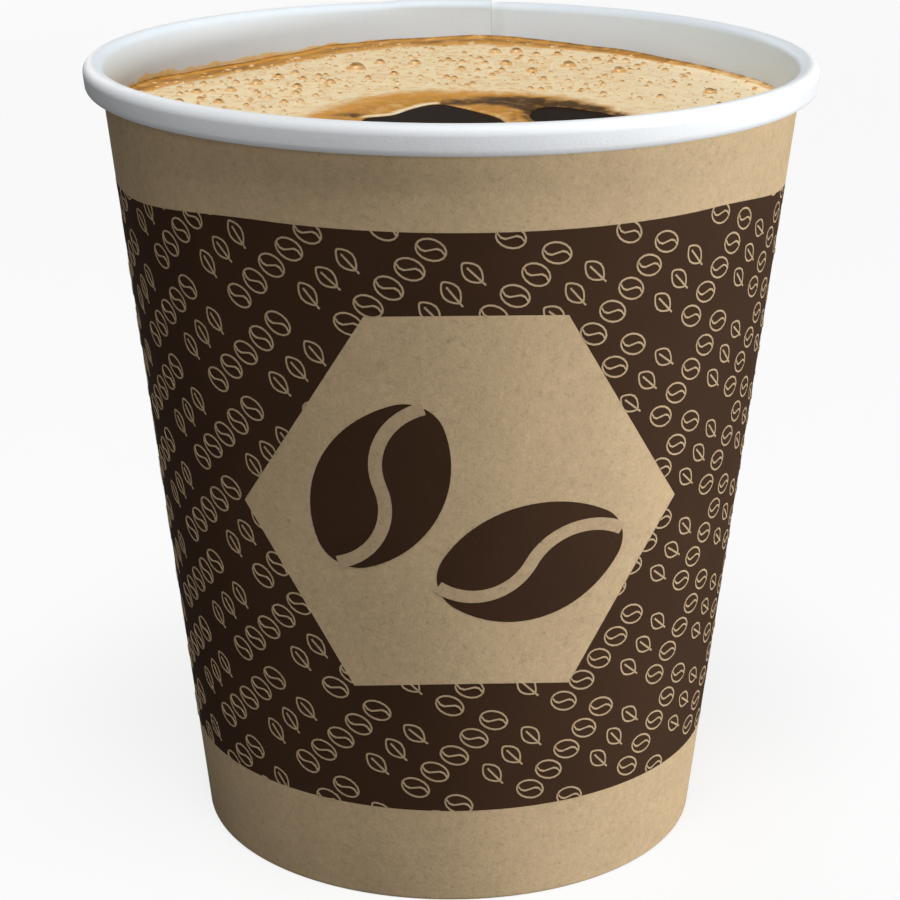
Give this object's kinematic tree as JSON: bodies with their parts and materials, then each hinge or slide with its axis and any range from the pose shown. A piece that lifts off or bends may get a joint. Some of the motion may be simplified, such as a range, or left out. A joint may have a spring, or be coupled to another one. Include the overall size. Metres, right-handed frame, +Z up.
{
  "type": "paper coffee cup",
  "caption": "Tapered single-wall paper cup with a rolled rim, a recessed crimped floor and a printed band, filled with foamy coffee.",
  "frame": {"origin": "centre of the circle on which the cup stands", "axes": "+Z up along the cup's axis; the printed panel faces -Y and the side seam is at +Y"},
  "size_m": [0.08, 0.08, 0.0885],
  "materials": {
    "kraft_paper": "matte",
    "white_paper": "satin",
    "coffee": "gloss",
    "foam": "matte"
  },
  "bodies": {
    "root": {"sidewall": "kraft_paper", "bottom_disc": "white_paper", "coffee": "coffee", "crema": "foam"}
  },
  "joints": []
}
